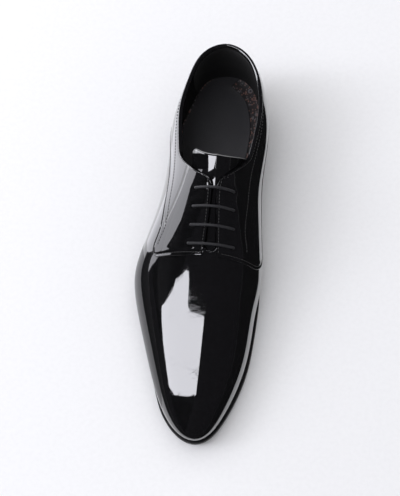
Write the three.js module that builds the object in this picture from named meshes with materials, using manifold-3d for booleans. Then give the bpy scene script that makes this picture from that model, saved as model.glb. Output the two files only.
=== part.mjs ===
// A plain-toe lace-up dress shoe in patent leather, for the right foot, in millimetres.
// Frame: +Z up, the toe towards -Y, the outer side of the foot towards -X, and the floor at z 0.
// Every form is worked out from one last: a table of sections from the heel's back to the toe's tip.
// While a form is worked out, s runs forwards from the heel's back, x to the inner side, z up.
import * as THREE from "three";
import { mergeVertices } from "three/addons/utils/BufferGeometryUtils.js";
import Module from "manifold-3d";

const wasm = await Module();
wasm.setup();

// Driving sizes of the whole shoe
const lastLength = 302;
const ballWidth = 99;
const instepHeight = 98;
const heelHeight = 24;
const toeSpring = 9;

// Sole and heel
const outsoleThickness = 5;
const outsoleEdgeRound = 1.2;
const flatStart = 200;
const flatEnd = 224;
const breastHeight = 19.7;
const archPower = 1.75;
const heelLength = 74;
const heelTaper = 2.5;
const heelBreastHollow = 5;
const heelInset = 0.8;
const topLiftThickness = 6;
const insoleThickness = 3;

// Upper
const wall = 1.8;
const overlayStep = 0.8;
const throatTop = 121;
const throatEnd = 168;
const facingGapTop = 2.4;
const facingGapEnd = 10;
const frontSeam = 171;

// Tongue, laces and eyelets
const laceDiameter = 2.2;
const eyeletDiameter = 3.6;
const eyeletToEdge = 12.2;
const eyeletPairs = 4;
const firstEyelet = 162.5;
const eyeletPitch = 12.6;
const tongueThickness = 2;
const tongueTop = 92;
const tongueHollow = 9;
const tongueRoot = 182;
const tongueWidth = 46;
const tongueCorner = 4;

// Room left between curved pieces, and the fineness of the curved forms
const fitGap = 0.3;
const ringSteps = 40;
const riseSteps = 13;
const laceSides = 7;

// The last. along: share of lastLength. lateral, medial: half width at the fullest line. rise: height of
// the fullest line over the feather line. tuckLateral, tuckMedial: how far the feather line lies inside the
// fullest line. side: how far the top line lies to the inner side. All five are shares of ballWidth.
// ridge: height of the top line over the floor, share of instepHeight. crown and shoulder: powers of the
// section's curve, where a larger one is fuller at the top or at the side.
const lastSections = [
  { along: 0.00, lateral: 0.000, medial: 0.000, rise: 0.200, tuckLateral: 0.035, tuckMedial: 0.035,
    ridge: 1.143, side: 0.000, crown: 2.80, shoulder: 2.80 },
  { along: 0.04, lateral: 0.240, medial: 0.238, rise: 0.200, tuckLateral: 0.035, tuckMedial: 0.035,
    ridge: 1.145, side: 0.000, crown: 2.00, shoulder: 2.45 },
  { along: 0.10, lateral: 0.317, medial: 0.322, rise: 0.200, tuckLateral: 0.035, tuckMedial: 0.040,
    ridge: 1.140, side: 0.000, crown: 1.75, shoulder: 2.20 },
  { along: 0.17, lateral: 0.380, medial: 0.360, rise: 0.200, tuckLateral: 0.030, tuckMedial: 0.045,
    ridge: 1.105, side: 0.005, crown: 1.50, shoulder: 1.90 },
  { along: 0.25, lateral: 0.400, medial: 0.356, rise: 0.200, tuckLateral: 0.036, tuckMedial: 0.075,
    ridge: 1.035, side: 0.012, crown: 1.40, shoulder: 1.70 },
  { along: 0.33, lateral: 0.417, medial: 0.345, rise: 0.195, tuckLateral: 0.050, tuckMedial: 0.112,
    ridge: 1.000, side: 0.017, crown: 1.60, shoulder: 1.65 },
  { along: 0.42, lateral: 0.466, medial: 0.362, rise: 0.180, tuckLateral: 0.066, tuckMedial: 0.125,
    ridge: 0.935, side: 0.019, crown: 1.75, shoulder: 1.75 },
  { along: 0.50, lateral: 0.540, medial: 0.388, rise: 0.150, tuckLateral: 0.058, tuckMedial: 0.095,
    ridge: 0.803, side: 0.019, crown: 1.85, shoulder: 1.85 },
  { along: 0.58, lateral: 0.592, medial: 0.405, rise: 0.125, tuckLateral: 0.036, tuckMedial: 0.052,
    ridge: 0.678, side: 0.017, crown: 1.95, shoulder: 1.95 },
  { along: 0.65, lateral: 0.562, medial: 0.384, rise: 0.110, tuckLateral: 0.030, tuckMedial: 0.030,
    ridge: 0.597, side: 0.014, crown: 2.00, shoulder: 2.00 },
  { along: 0.72, lateral: 0.499, medial: 0.368, rise: 0.100, tuckLateral: 0.030, tuckMedial: 0.030,
    ridge: 0.529, side: 0.010, crown: 2.10, shoulder: 2.00 },
  { along: 0.79, lateral: 0.430, medial: 0.343, rise: 0.090, tuckLateral: 0.030, tuckMedial: 0.030,
    ridge: 0.475, side: 0.006, crown: 2.10, shoulder: 2.00 },
  { along: 0.86, lateral: 0.355, medial: 0.290, rise: 0.085, tuckLateral: 0.030, tuckMedial: 0.030,
    ridge: 0.434, side: 0.003, crown: 2.10, shoulder: 2.00 },
  { along: 0.93, lateral: 0.259, medial: 0.208, rise: 0.080, tuckLateral: 0.030, tuckMedial: 0.030,
    ridge: 0.395, side: 0.000, crown: 2.10, shoulder: 2.00 },
  { along: 0.975, lateral: 0.157, medial: 0.130, rise: 0.080, tuckLateral: 0.030, tuckMedial: 0.030,
    ridge: 0.368, side: 0.000, crown: 2.10, shoulder: 2.00 },
  { along: 1.00, lateral: 0.000, medial: 0.000, rise: 0.080, tuckLateral: 0.030, tuckMedial: 0.030,
    ridge: 0.350, side: 0.000, crown: 2.10, shoulder: 2.00 },
];

// How far the sole's edge stands outside the feather line, as a share of ballWidth.
const soleEdge = [
  { along: 0.00, edge: 0.020 },
  { along: 0.33, edge: 0.020 },
  { along: 0.42, edge: 0.025 },
  { along: 0.50, edge: 0.034 },
  { along: 0.60, edge: 0.040 },
  { along: 0.90, edge: 0.046 },
  { along: 1.00, edge: 0.040 },
];

// The ends of the line from which the sections fan out, at the heel and at the toe, shares of lastLength.
const fanHeel = 0.13;
const fanToe = 0.875;
// The share of a section's run that lies under its fullest line.
const underShare = 0.15;

// The top edge of the opening, seen from the side. along: share of lastLength, height: of instepHeight.
const topEdge = [
  { along: -0.10, height: 0.890 },
  { along: 0.00, height: 0.880 },
  { along: 0.05, height: 0.860 },
  { along: 0.10, height: 0.825 },
  { along: 0.16, height: 0.787 },
  { along: 0.22, height: 0.762 },
  { along: 0.28, height: 0.750 },
  { along: 0.31, height: 0.770 },
  { along: 0.335, height: 0.825 },
  { along: 0.365, height: 0.905 },
  { along: 0.385, height: 0.960 },
  { along: 0.401, height: 1.050 },
];

// The lower edge of the quarter, from its front corner back to the heel, seen from each side.
const quarterEdgeLateral = [
  { along: 0.566, height: 0.640 },
  { along: 0.566, height: 0.570 },
  { along: 0.558, height: 0.545 },
  { along: 0.540, height: 0.545 },
  { along: 0.500, height: 0.600 },
  { along: 0.440, height: 0.640 },
  { along: 0.380, height: 0.640 },
  { along: 0.320, height: 0.610 },
  { along: 0.260, height: 0.565 },
  { along: 0.200, height: 0.510 },
  { along: 0.140, height: 0.455 },
  { along: 0.080, height: 0.410 },
  { along: 0.000, height: 0.390 },
];
const quarterEdgeMedial = [
  { along: 0.566, height: 0.560 },
  { along: 0.560, height: 0.460 },
  { along: 0.548, height: 0.350 },
  { along: 0.534, height: 0.275 },
  { along: 0.505, height: 0.262 },
  { along: 0.440, height: 0.300 },
  { along: 0.360, height: 0.370 },
  { along: 0.280, height: 0.425 },
  { along: 0.200, height: 0.445 },
  { along: 0.140, height: 0.425 },
  { along: 0.080, height: 0.400 },
  { along: 0.000, height: 0.390 },
];

const clamp = THREE.MathUtils.clamp;
const ringOf = (along) => Math.acos(1 - 2 * clamp(along, 0, 1)) / Math.PI;
const alongOf = (ring) => (1 - Math.cos(Math.PI * ring)) / 2;

// A natural cubic curve through one column of a table.
function curve(xs, ys) {
  const last = xs.length - 1;
  const bend = new Array(last + 1).fill(0);
  const carry = new Array(last + 1).fill(0);
  for (let i = 1; i < last; i += 1) {
    const share = (xs[i] - xs[i - 1]) / (xs[i + 1] - xs[i - 1]);
    const pivot = share * bend[i - 1] + 2;
    const after = (ys[i + 1] - ys[i]) / (xs[i + 1] - xs[i]);
    const before = (ys[i] - ys[i - 1]) / (xs[i] - xs[i - 1]);
    bend[i] = (share - 1) / pivot;
    carry[i] = ((6 * (after - before)) / (xs[i + 1] - xs[i - 1]) - share * carry[i - 1]) / pivot;
  }
  bend[last] = 0;
  for (let i = last - 1; i >= 0; i -= 1) {
    bend[i] = bend[i] * bend[i + 1] + carry[i];
  }
  return (x) => {
    let i = 0;
    while (i < last - 1 && x > xs[i + 1]) {
      i += 1;
    }
    const span = xs[i + 1] - xs[i];
    const far = (xs[i + 1] - x) / span;
    const near = (x - xs[i]) / span;
    const cubic = ((far ** 3 - far) * bend[i] + (near ** 3 - near) * bend[i + 1]) * (span ** 2 / 6);
    return far * ys[i] + near * ys[i + 1] + cubic;
  };
}

const byRing = (name) => {
  return curve(lastSections.map((row) => ringOf(row.along)), lastSections.map((row) => row[name]));
};
const byAlong = (rows, name) => curve(rows.map((row) => row.along), rows.map((row) => row[name]));
const lateralAt = byRing("lateral");
const medialAt = byRing("medial");
const riseAt = byRing("rise");
const tuckLateralAt = byRing("tuckLateral");
const tuckMedialAt = byRing("tuckMedial");
const crownAt = byRing("crown");
const shoulderAt = byRing("shoulder");
const ridgeAt = byAlong(lastSections, "ridge");
const sideAt = byAlong(lastSections, "side");
const soleEdgeAt = byAlong(soleEdge, "edge");

// Height of the sole's underside over the floor: seat, arch, flat tread and toe spring in turn.
function bottomHeight(s) {
  if (s < heelLength) {
    const drop = heelHeight - breastHeight;
    const slope = (archPower * breastHeight) / (flatStart - heelLength);
    return heelHeight - drop * Math.max(s / heelLength, 0) ** ((slope * heelLength) / drop);
  }
  if (s < flatStart) {
    return breastHeight * (1 - (s - heelLength) / (flatStart - heelLength)) ** archPower;
  }
  if (s < flatEnd) {
    return 0;
  }
  return toeSpring * ((s - flatEnd) / (lastLength - flatEnd)) ** 2;
}
const featherHeight = (s) => bottomHeight(s) + outsoleThickness;
const topLineSide = (s) => sideAt(clamp(s / lastLength, 0, 1)) * ballWidth;
const topLineHeight = (s) => ridgeAt(clamp(s / lastLength, 0, 1)) * instepHeight;

// Half width of the fullest line, signed: the outer side is negative.
function fullest(side, ring) {
  return side * ballWidth * (side < 0 ? lateralAt(ring) : medialAt(ring));
}

// The level direction that leads straight inwards from the fullest line.
function inwards(side, ring) {
  const step = 1e-4;
  const after = Math.min(ring + step, 1);
  const before = Math.max(ring - step, 0);
  const ds = (alongOf(after) - alongOf(before)) * lastLength;
  const dx = fullest(side, after) - fullest(side, before);
  const run = Math.hypot(ds, dx);
  return { x: (-side * ds) / run, s: (side * dx) / run };
}

// A point of the last's skin. ring: 0 at the heel's back to 1 at the toe's tip. up: 0 at the feather line
// to 1 on the top line.
function skin(side, ring, up) {
  const along = alongOf(ring);
  const outer = along * lastLength;
  const centre = (fanHeel + (fanToe - fanHeel) * along) * lastLength;
  const foot = featherHeight(outer);
  const rise = riseAt(ring) * ballWidth;
  const low = clamp(up / underShare, 0, 1);
  const angle = (clamp((up - underShare) / (1 - underShare), 0, 1) * Math.PI) / 2;
  const reach = Math.max(Math.cos(angle), 0) ** (2 / crownAt(ring));
  const lift = Math.sin(angle) ** (2 / shoulderAt(ring));
  const tuck = (side < 0 ? tuckLateralAt(ring) : tuckMedialAt(ring)) * ballWidth * (1 - low) ** 2;
  const aim = inwards(side, ring);
  const s = outer + (1 - reach) * (centre - outer);
  const x = fullest(side, ring) * reach + topLineSide(s) * (1 - reach) + aim.x * tuck;
  const z = foot + rise * low + lift * (topLineHeight(s) - foot - rise);
  return new THREE.Vector3(x, s + aim.s * tuck, z);
}

// The direction that leads out of the skin, from the slopes of the skin along the ring and up.
function outwards(side, ring, up) {
  const step = 2e-3;
  const alongRing = skin(side, Math.min(ring + step, 1), up).sub(skin(side, Math.max(ring - step, 0), up));
  const alongUp = skin(side, ring, Math.min(up + step, 1)).sub(skin(side, ring, Math.max(up - step, 0)));
  const normal = alongRing.cross(alongUp).multiplyScalar(side).normalize();
  if (ring === 0 || ring === 1) {
    normal.x = 0;
  }
  return normal.normalize();
}

// The skin moved inwards by a depth, or outwards where the depth is negative.
function layer(side, ring, up, depth) {
  if (up >= 1) {
    const s = skin(side, ring, 1).y;
    const slope = topLineHeight(s + 1) - topLineHeight(s);
    const normal = new THREE.Vector3(0, -slope, 1).normalize();
    return skin(side, ring, 1).addScaledVector(normal, -depth);
  }
  return skin(side, ring, up).addScaledVector(outwards(side, ring, up), -depth);
}

// From x, s, z while a form is worked out to the shoe's own frame.
const placed = (point) => [point.x, -point.y, point.z];

function manifoldFrom(points, triangles) {
  const mesh = new wasm.Mesh({
    numProp: 3,
    vertProperties: new Float32Array(points.flat()),
    triVerts: new Uint32Array(triangles.flat()),
  });
  return new wasm.Manifold(mesh);
}

// A closed form round the shoe from rows of points. The first row closes across the shoe, and the last row
// closes on the top line where it is shared, or across the shoe where it is not.
function ringForm(rows, rowAt, sharedTop) {
  const points = [];
  const index = new Map();
  const idOf = (side, i, row) => {
    const shared = i === 0 || i === ringSteps || (sharedTop && row === rows - 1);
    const key = `${shared ? 0 : side}/${i}/${row}`;
    if (!index.has(key)) {
      index.set(key, points.length);
      points.push(placed(rowAt(side, i / ringSteps, row)));
    }
    return index.get(key);
  };
  const triangles = [];
  const quad = (a, b, c, d) => {
    for (const triangle of [[a, c, b], [a, d, c]]) {
      if (new Set(triangle).size === 3) {
        triangles.push(triangle);
      }
    }
  };
  const top = rows - 1;
  for (let i = 0; i < ringSteps; i += 1) {
    for (let row = 0; row < top; row += 1) {
      quad(idOf(-1, i, row), idOf(-1, i, row + 1), idOf(-1, i + 1, row + 1), idOf(-1, i + 1, row));
      quad(idOf(1, i, row), idOf(1, i + 1, row), idOf(1, i + 1, row + 1), idOf(1, i, row + 1));
    }
    quad(idOf(-1, i, 0), idOf(-1, i + 1, 0), idOf(1, i + 1, 0), idOf(1, i, 0));
    if (!sharedTop) {
      quad(idOf(-1, i, top), idOf(1, i, top), idOf(1, i + 1, top), idOf(-1, i + 1, top));
    }
  }
  return manifoldFrom(points, triangles);
}

// The closed last at a depth under its skin; its foot can be carried down past the feather line.
function lastForm(depth, footDrop) {
  const underRows = 3;
  return ringForm(riseSteps + 2, (side, ring, row) => {
    const step = Math.max(row - 1, 0);
    const over = (step - underRows) / (riseSteps - underRows);
    const up = step < underRows ? (underShare * step) / underRows : underShare + (1 - underShare) * over;
    const point = layer(side, ring, up, depth);
    if (row < 2) {
      point.z = featherHeight(point.y) + fitGap - (row === 0 ? footDrop : 0);
    }
    return point;
  }, true);
}

// A closed three.js geometry as a solid that can be joined and cut.
function solidFrom(geometry) {
  geometry.deleteAttribute("normal");
  geometry.deleteAttribute("uv");
  const merged = mergeVertices(geometry, 1e-5);
  const mesh = new wasm.Mesh({
    numProp: 3,
    vertProperties: new Float32Array(merged.attributes.position.array),
    triVerts: new Uint32Array(merged.index.array),
  });
  return new wasm.Manifold(mesh);
}

// A prism that stands on the plane of its outline.
function prism(outline, height) {
  const shape = new THREE.Shape(outline.map(([across, up]) => new THREE.Vector2(across, up)));
  return new THREE.ExtrudeGeometry(shape, { depth: height, bevelEnabled: false, steps: 1 });
}

// An outline of s, z pairs seen from the side, carried across the shoe from one x to another.
function sidePrism(outline, fromX, toX) {
  const geometry = prism(outline.map(([s, z]) => [-s, z]), toX - fromX);
  geometry.applyMatrix4(new THREE.Matrix4().set(0, 0, 1, fromX, 1, 0, 0, 0, 0, 1, 0, 0, 0, 0, 0, 1));
  return solidFrom(geometry);
}

// An outline of x, s pairs seen from above, carried up from one height to another. spread widens its top
// about the middle of the outline's frame.
function planPrism(outline, fromZ, toZ, spread = 1) {
  const geometry = prism(outline.map(([x, s]) => [x, -s]), toZ - fromZ);
  const place = geometry.attributes.position;
  for (let i = 0; i < place.count; i += 1) {
    const share = place.getZ(i) > 0 ? spread : 1;
    place.setXY(i, place.getX(i) * share, place.getY(i) * share);
  }
  geometry.translate(0, 0, fromZ);
  return solidFrom(geometry);
}

const samples = (from, to, count) => {
  return Array.from({ length: count + 1 }, (_, i) => from + ((to - from) * i) / count);
};
const farOut = 250;

// The point of the skin that has a given s and x, found by a few steps of Newton's method.
function onSkin(side, s, x) {
  let ring = ringOf(s / lastLength);
  let up = 0.8;
  const step = 1e-4;
  for (let i = 0; i < 25; i += 1) {
    const here = skin(side, ring, up);
    const byRingStep = skin(side, ring + step, up).sub(here).divideScalar(step);
    const byUpStep = skin(side, ring, up + step).sub(here).divideScalar(step);
    const missX = x - here.x;
    const missS = s - here.y;
    const area = byRingStep.x * byUpStep.y - byRingStep.y * byUpStep.x;
    ring += 0.7 * ((missX * byUpStep.y - missS * byUpStep.x) / area);
    up = clamp(up + 0.7 * ((byRingStep.x * missS - byRingStep.y * missX) / area), 0.3, 0.9995);
  }
  return { side, ring, up };
}

function overSkin(side, s, x, depth) {
  const at = onSkin(side, s, x);
  return layer(at.side, at.ring, at.up, depth);
}

// Upper: vamp and quarters as one hollow solid.
const gapShare = (s) => clamp((s - throatTop) / (throatEnd - throatTop), 0, 1);
const facingGapHalf = (s) => (facingGapTop + (facingGapEnd - facingGapTop) * gapShare(s)) / 2;

function throatOutline(end) {
  const stations = samples(throatTop - 12, end - facingGapEnd / 2, 14);
  const roundEnd = samples(0, Math.PI / 2, 5).slice(1);
  const edge = (sign) => [
    ...stations.map((s) => [topLineSide(s) + sign * facingGapHalf(s), s]),
    ...roundEnd.map((angle) => [
      topLineSide(end) + sign * facingGapHalf(end) * Math.cos(angle),
      end - (facingGapEnd / 2) * (1 - Math.sin(angle)),
    ]),
  ];
  return [...edge(-1), ...edge(1).reverse()];
}

function collarCutter() {
  const height = byAlong(topEdge, "height");
  const first = topEdge[0].along;
  const last = topEdge[topEdge.length - 1].along;
  const edge = samples(first, last, 44).map((along) => [along * lastLength, height(along) * instepHeight]);
  const corners = [[last * lastLength, farOut], [first * lastLength, farOut]];
  return sidePrism([...edge, ...corners], -ballWidth, ballWidth);
}

function quarterRegion(rows, fromX, toX) {
  const along = curve(rows.map((_, i) => i), rows.map((row) => row.along));
  const height = curve(rows.map((_, i) => i), rows.map((row) => row.height));
  const edge = samples(0, rows.length - 1, 3 * (rows.length - 1));
  const outline = edge.map((i) => [along(i) * lastLength, height(i) * instepHeight]);
  const heelEnd = rows[rows.length - 1].height * instepHeight;
  return sidePrism([[frontSeam, farOut], ...outline, [-farOut, heelEnd], [-farOut, farOut]], fromX, toX);
}

// Eyelets in rows along both facings, from the lowest pair up.
const rowNumbers = samples(0, eyeletPairs - 1, eyeletPairs - 1);
const eyeletRows = rowNumbers.map((row) => firstEyelet - row * eyeletPitch);
const eyeletX = (side, s) => topLineSide(s) + side * (facingGapHalf(s) + eyeletToEdge);

function eyeletHole(side, s) {
  const at = onSkin(side, s, eyeletX(side, s));
  const out = outwards(side, at.ring, at.up);
  const centre = layer(side, at.ring, at.up, 0);
  const length = 2 * (wall + laceDiameter);
  const geometry = new THREE.CylinderGeometry(eyeletDiameter / 2, eyeletDiameter / 2, length, 12);
  const aim = new THREE.Vector3(...placed(out));
  geometry.applyQuaternion(new THREE.Quaternion().setFromUnitVectors(new THREE.Vector3(0, 1, 0), aim));
  geometry.translate(...placed(centre));
  return solidFrom(geometry);
}

function upperSolid() {
  const lateral = quarterRegion(quarterEdgeLateral, -ballWidth, 0);
  const medial = quarterRegion(quarterEdgeMedial, 0, ballWidth);
  const region = wasm.Manifold.union([lateral, medial]);
  const openFront = planPrism(throatOutline(frontSeam + facingGapEnd), instepHeight / 2, farOut);
  const quarters = lastForm(-overlayStep, 0).intersect(region).subtract(openFront);
  const throat = planPrism(throatOutline(throatEnd), instepHeight / 2, farOut);
  const hollow = lastForm(wall, 2 * outsoleThickness);
  const holes = eyeletRows.flatMap((s) => [eyeletHole(-1, s), eyeletHole(1, s)]);
  const whole = wasm.Manifold.union([lastForm(0, 0), quarters]);
  return wasm.Manifold.difference([whole, hollow, collarCutter(), throat, ...holes]);
}

// Sole: its outline stands outside the feather line, with rounded edges.
function outsoleSolid() {
  const rows = [
    { inset: outsoleEdgeRound, lift: 0 },
    { inset: outsoleEdgeRound * 0.3, lift: outsoleEdgeRound * 0.3 },
    { inset: 0, lift: outsoleEdgeRound },
    { inset: 0, lift: outsoleThickness - outsoleEdgeRound },
    { inset: outsoleEdgeRound * 0.3, lift: outsoleThickness - outsoleEdgeRound * 0.3 },
    { inset: outsoleEdgeRound, lift: outsoleThickness },
  ];
  return ringForm(rows.length, (side, ring, row) => {
    const point = soleOutlinePoint(side, ring, rows[row].inset);
    point.z = bottomHeight(point.y) + rows[row].lift;
    return point;
  }, false);
}

function soleOutlinePoint(side, ring, inset) {
  const point = skin(side, ring, 0);
  const aim = inwards(side, ring);
  const out = soleEdgeAt(alongOf(ring)) * ballWidth - inset;
  point.x -= aim.x * out;
  point.y -= aim.s * out;
  return point;
}

// Heel: the sole's outline, tapering downwards, with a hollow breast and a flat top lift.
function heelSolid() {
  const inset = heelInset + heelTaper;
  const rings = samples(0, ringOf(heelLength / lastLength), 22);
  const edge = (side) => rings.map((ring) => {
    const point = soleOutlinePoint(side, ring, inset);
    return [point.x, point.y - heelLength / 2];
  });
  const lateral = edge(-1);
  const medial = edge(1).reverse();
  const from = lateral[lateral.length - 1];
  const to = medial[0];
  const breast = samples(0, 1, 10).slice(1, -1).map((share) => [
    from[0] + (to[0] - from[0]) * share,
    from[1] + (to[1] - from[1]) * share - heelBreastHollow * Math.sin(Math.PI * share),
  ]);
  const half = (to[0] - from[0]) / 2;
  const outline = [...lateral, ...breast, ...medial.slice(0, -1)];
  const taper = (half + heelTaper) / half;
  const block = planPrism(outline, 0, heelHeight, taper).translate([0, -heelLength / 2, 0]);
  const seat = samples(-heelLength, 2 * heelLength, 60).map((s) => [s, bottomHeight(s) - fitGap]);
  const over = [...seat, [2 * heelLength, farOut], [-heelLength, farOut]];
  return block.subtract(sidePrism(over, -ballWidth, ballWidth));
}

function topLiftSlab() {
  const corners = [[-ballWidth, -heelLength], [ballWidth, -heelLength], [ballWidth, 2 * heelLength]];
  return planPrism([...corners, [-ballWidth, 2 * heelLength]], -heelHeight, topLiftThickness);
}

function insoleSolid() {
  const stations = samples(-5, lastLength + 5, 30);
  const under = stations.map((s) => [s, featherHeight(s) + fitGap]);
  const over = stations.map((s) => [s, featherHeight(s) + fitGap + insoleThickness]).reverse();
  return lastForm(wall + fitGap, 0).intersect(sidePrism([...under, ...over], -ballWidth, ballWidth));
}

// Tongue: a sheet that follows the last under the facings, with room over it for the lace.
const laceRoom = laceDiameter + 2 * fitGap;
const tongueDepth = wall + laceRoom;

function tongueSolid() {
  const half = tongueWidth / 2;
  const round = samples(0, Math.PI / 2, 6);
  const edgeAt = (x) => tongueTop + tongueHollow * (1 - (x / half) ** 2);
  const corner = (sign) => round.map((angle) => {
    const x = half - tongueCorner + tongueCorner * Math.sin(angle);
    return [topLineSide(tongueTop) + sign * x, edgeAt(x) + tongueCorner * (1 - Math.cos(angle))];
  });
  const root = (sign) => [topLineSide(tongueRoot) + sign * half * 0.8, tongueRoot];
  const crest = samples(0.6 * half, -0.6 * half, 6).map((x) => [topLineSide(tongueTop) + x, edgeAt(x)]);
  const outline = [...corner(-1), root(-1), root(1), ...corner(1).reverse(), ...crest];
  const sheet = lastForm(tongueDepth, 0).subtract(lastForm(tongueDepth + tongueThickness, 0));
  return sheet.intersect(planPrism(outline, instepHeight / 2, farOut));
}

// A round cord along a run of points, closed at both ends.
function tube(points, radius) {
  const rings = [];
  let reference = new THREE.Vector3(0.3, 0.2, 1).normalize();
  points.forEach((point, i) => {
    const ahead = points[Math.min(i + 1, points.length - 1)];
    const behind = points[Math.max(i - 1, 0)];
    const aim = ahead.clone().sub(behind).normalize();
    const first = reference.clone().addScaledVector(aim, -reference.dot(aim)).normalize();
    const second = aim.clone().cross(first);
    reference = first;
    rings.push(samples(0, laceSides - 1, laceSides - 1).map((k) => {
      const angle = (2 * Math.PI * k) / laceSides;
      return point.clone().addScaledVector(first, radius * Math.cos(angle))
        .addScaledVector(second, radius * Math.sin(angle));
    }));
  });
  const vertices = rings.flat().map((vertex) => vertex.toArray());
  const triangles = [];
  for (let i = 0; i < rings.length - 1; i += 1) {
    for (let k = 0; k < laceSides; k += 1) {
      const a = i * laceSides + k;
      const b = i * laceSides + ((k + 1) % laceSides);
      triangles.push([a, b, b + laceSides], [a, b + laceSides, a + laceSides]);
    }
  }
  const end = (rings.length - 1) * laceSides;
  for (let k = 1; k < laceSides - 1; k += 1) {
    triangles.push([0, k + 1, k], [end, end + k, end + k + 1]);
  }
  return manifoldFrom(vertices, triangles);
}

// A run of points with its sharp corners turned into short bends.
function withBends(points, bendRadius) {
  const run = [];
  points.forEach((point, i) => {
    const before = points[Math.max(i - 1, 0)].clone().sub(point).normalize();
    const after = points[Math.min(i + 1, points.length - 1)].clone().sub(point).normalize();
    const sharp = i > 0 && i < points.length - 1 && before.dot(after) > -0.6;
    if (!sharp) {
      run.push(point);
      return;
    }
    const from = point.clone().addScaledVector(before, bendRadius);
    const to = point.clone().addScaledVector(after, bendRadius);
    run.push(...samples(0, 1, 4).map((share) => from.clone().multiplyScalar((1 - share) ** 2)
      .addScaledVector(point, 2 * share * (1 - share)).addScaledVector(to, share ** 2)));
  });
  return run;
}

// Lace: one cord whose straight bars lie over the facings. It goes down through an eyelet at each end of a
// bar and runs on under the facing to the next pair.
function lacesSolid() {
  const radius = laceDiameter / 2;
  const over = -(overlayStep + fitGap + radius);
  const under = wall + fitGap + radius;
  const place = (side, s, x, depth) => new THREE.Vector3(...placed(overSkin(side, s, x, depth)));
  const path = eyeletRows.flatMap((s, row) => {
    const start = row % 2 === 0 ? -1 : 1;
    const bar = samples(eyeletX(start, s), eyeletX(-start, s), 8);
    return [
      place(start, s, bar[0], under),
      ...bar.map((x) => place(x < topLineSide(s) ? -1 : 1, s, x, over)),
      place(-start, s, bar[bar.length - 1], under),
    ];
  });
  return tube(withBends(path, radius * 1.25), radius);
}

// Black patent leather, lining and sole, told apart by their shade alone.
const finishes = {
  patent: { color: 0x0b0b0c, roughness: 0.08, metalness: 0 },
  lining: { color: 0x1c1718, roughness: 0.6, metalness: 0 },
  sole: { color: 0x101011, roughness: 0.4, metalness: 0 },
  rubber: { color: 0x161616, roughness: 0.7, metalness: 0 },
  cord: { color: 0x0e0e0e, roughness: 0.5, metalness: 0 },
};

function meshFrom(name, solid, finish) {
  const { vertProperties, triVerts } = solid.getMesh();
  const raw = new THREE.BufferGeometry();
  raw.setAttribute("position", new THREE.BufferAttribute(new Float32Array(vertProperties), 3));
  raw.setIndex(new THREE.BufferAttribute(new Uint32Array(triVerts), 1));
  const geometry = mergeVertices(raw, 1e-4);
  geometry.computeVertexNormals();
  const mesh = new THREE.Mesh(geometry, new THREE.MeshStandardMaterial(finishes[finish]));
  mesh.name = name;
  return mesh;
}

const heel = heelSolid();
const lastPieces = new THREE.Group();
lastPieces.add(
  meshFrom("upper", upperSolid(), "patent"),
  meshFrom("outsole", outsoleSolid(), "sole"),
  meshFrom("heel_stack", heel.subtract(topLiftSlab()), "sole"),
  meshFrom("heel_top_lift", heel.intersect(topLiftSlab()), "rubber"),
  meshFrom("insole", insoleSolid(), "lining"),
  meshFrom("tongue", tongueSolid(), "patent"),
  meshFrom("laces", lacesSolid(), "cord"),
);

// The origin is the middle of the shoe's box, on the floor.
const box = new THREE.Box3().setFromObject(lastPieces);
const middle = box.getCenter(new THREE.Vector3());
lastPieces.position.set(-middle.x, -middle.y, -box.min.z);

const shoe = new THREE.Group();
shoe.name = "patent_shoe";
shoe.add(lastPieces);
export default shoe;
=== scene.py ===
"""Looks of a black patent lace-up shoe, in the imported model's frame (metres, toe at -Y, floor at z 0).

Every piece is worked out on the same last as the solids: a table of sections gives a skin, and a piece is
that skin at some depth between two edges. Lengths are in millimetres until a mesh is made.
"""
import bmesh
import bpy
import numpy as np
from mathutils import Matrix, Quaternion, Vector


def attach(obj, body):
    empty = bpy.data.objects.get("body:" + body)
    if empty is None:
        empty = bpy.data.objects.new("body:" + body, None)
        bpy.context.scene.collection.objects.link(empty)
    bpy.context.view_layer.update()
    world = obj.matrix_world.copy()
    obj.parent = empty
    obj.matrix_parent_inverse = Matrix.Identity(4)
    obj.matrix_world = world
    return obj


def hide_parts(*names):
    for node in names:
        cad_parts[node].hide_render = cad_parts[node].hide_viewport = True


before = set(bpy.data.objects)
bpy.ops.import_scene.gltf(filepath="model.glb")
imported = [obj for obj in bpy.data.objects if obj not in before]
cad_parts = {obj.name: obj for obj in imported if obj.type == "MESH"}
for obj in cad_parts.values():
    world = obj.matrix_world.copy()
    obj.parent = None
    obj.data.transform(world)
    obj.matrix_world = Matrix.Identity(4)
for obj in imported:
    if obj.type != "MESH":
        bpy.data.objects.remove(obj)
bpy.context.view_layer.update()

# Sizes of the last, as in the solids
LAST_LENGTH = 302.0
BALL_WIDTH = 99.0
INSTEP_HEIGHT = 98.0
HEEL_HEIGHT = 24.0
TOE_SPRING = 9.0
OUTSOLE_THICKNESS = 5.0
FLAT_START, FLAT_END = 200.0, 224.0
BREAST_HEIGHT = 19.7
ARCH_POWER = 1.75
HEEL_LENGTH = 74.0
HEEL_TAPER = 2.5
HEEL_INSET = 0.8
BREAST_HOLLOW = 5.0
TOP_LIFT = 6.0
INSOLE_THICKNESS = 3.0
WALL = 1.8
OVERLAY = 0.8
FIT_GAP = 0.3
THROAT_TOP, THROAT_END = 121.0, 168.0
GAP_TOP, GAP_END = 2.4, 10.0
FACING_ROUND, FACING_ROUND_FROM, FACING_ROUND_FADE = 7.0, 116.0, 3.4
LACE = 2.2
EYELET_TO_EDGE = 12.2
FIRST_EYELET, EYELET_PITCH = 162.5, 12.6
TONGUE_TOP, TONGUE_ROOT, TONGUE_WIDTH = 89.0, 182.0, 46.0
TONGUE_HOLLOW, TONGUE_CORNER = 10.5, 3.5
TONGUE_MEDIAL_EXTRA = 5.0
TONGUE_THICKNESS = 2.0
TONGUE_DEPTH = WALL + LACE + 2 * FIT_GAP
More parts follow.
